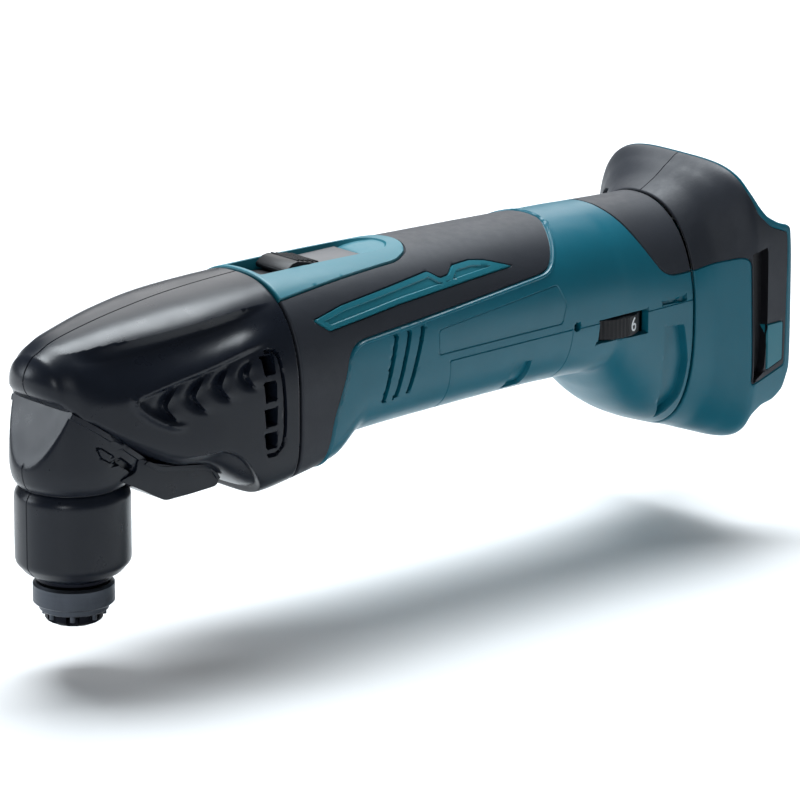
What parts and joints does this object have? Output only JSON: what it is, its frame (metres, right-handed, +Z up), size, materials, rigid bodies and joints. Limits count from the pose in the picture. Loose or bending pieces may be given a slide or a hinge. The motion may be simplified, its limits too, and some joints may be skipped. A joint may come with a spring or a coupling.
{
  "type": "oscillating multi-tool",
  "caption": "Bare cordless oscillating multi-tool: barrel grip with slide switch and speed dial, angled gear head, pinned accessory flange, and a slide-on battery interface at the rear.",
  "frame": {"origin": "on the spindle's axis, at the face of the tool flange that an accessory seats on", "axes": "+X back along the barrel towards the battery end, +Y to the tool's right-hand side, +Z up along the spindle, away from the accessory"},
  "size_m": [0.2976, 0.0768, 0.1072],
  "materials": {
    "dark_hood": "satin moulded",
    "grip": "soft matte overmould",
    "teal": "fine moulded texture",
    "teal_trim": "satin",
    "label": "smooth, blank",
    "black_plastic": "matte",
    "grey_plastic": "satin",
    "flange_steel": "satin turned",
    "black_steel": "black oxide",
    "steel": "ground",
    "screw_steel": "black zinc",
    "cast_aluminium": "as cast",
    "laminations": "laminated",
    "magnet": "ferrite",
    "copper": "turned",
    "brass": "stamped",
    "carbon": "graphite",
    "board": "solder resist"
  },
  "bodies": {
    "housing": {"hood_left": "dark_hood", "hood_right": "dark_hood", "hood_screws": "screw_steel", "neck_left": "dark_hood", "neck_right": "dark_hood", "neck_screws": "screw_steel", "gear_housing": "cast_aluminium", "spindle_bearing_lower": "steel", "spindle_bearing_upper": "steel", "dust_cover": "black_steel", "switch_bezel": "teal_trim", "grip_cover": "grip", "rear_pad": "grip", "inlay_left": "teal_trim", "inlay_right": "teal_trim", "label_plate_left": "label", "label_plate_right": "label", "brush_cover_left": "teal", "brush_cover_right": "teal", "motor_housing": "teal", "rear_cover_left": "teal", "rear_cover_right": "teal", "rear_skin_left": "grip", "rear_skin_right": "grip", "latch_plate_left": "teal_trim", "latch_plate_right": "teal_trim", "battery_rails": "black_plastic", "rear_screws": "screw_steel", "terminal_block": "black_plastic", "terminals": "brass", "motor_can": "steel", "magnets": "magnet", "end_frame": "black_plastic", "motor_bearing_front": "steel", "motor_bearing_rear": "steel", "brush_holders": "brass", "carbon_brushes": "carbon", "brush_springs": "steel", "switch_block": "black_plastic", "controller_board": "board"},
    "spindle_group": {"spindle": "steel", "tool_flange": "flange_steel", "rocker_fork": "steel"},
    "washer": {"clamp_washer": "black_steel"},
    "bolt": {"clamp_bolt": "black_steel"},
    "rotor": {"rotor_shaft": "steel", "rotor_core": "laminations", "commutator": "copper", "fan": "black_plastic", "eccentric_bearing": "steel"},
    "switch": {"switch_knob": "black_plastic", "switch_slide": "grey_plastic", "link_rod": "grey_plastic"},
    "dial": {"speed_dial": "black_plastic"}
  },
  "joints": [
    {"name": "spindle_swing", "type": "hinge", "parent": "housing", "child": "spindle_group", "pos_m": [0, 0, 0.02], "axis": [0, 0, 1], "range_deg": [-1.6, 1.6]},
    {"name": "bolt_travel", "type": "slide", "parent": "spindle_group", "child": "washer", "axis": [0, 0, -1], "range_m": [0, 0.014]},
    {"name": "bolt_turn", "type": "hinge", "parent": "washer", "child": "bolt", "pos_m": [0, 0, 0], "axis": [0, 0, 1], "range_deg": [0, 4031.5]},
    {"name": "rotor_spin", "type": "hinge", "parent": "housing", "child": "rotor", "pos_m": [0.06, 0, 0.066], "axis": [1, 0, 0], "continuous": true},
    {"name": "switch_slide", "type": "slide", "parent": "housing", "child": "switch", "axis": [-1, 0, 0], "range_m": [0, 0.005]},
    {"name": "dial_turn", "type": "hinge", "parent": "housing", "child": "dial", "pos_m": [0.2102, -0.0148, 0.057], "axis": [0, 0, 1], "range_deg": [-225, 0]}
  ],
  "couplings": [
    {"joint": "bolt_travel", "follows": "bolt_turn", "m_per_rad": 0.00019894}
  ]
}
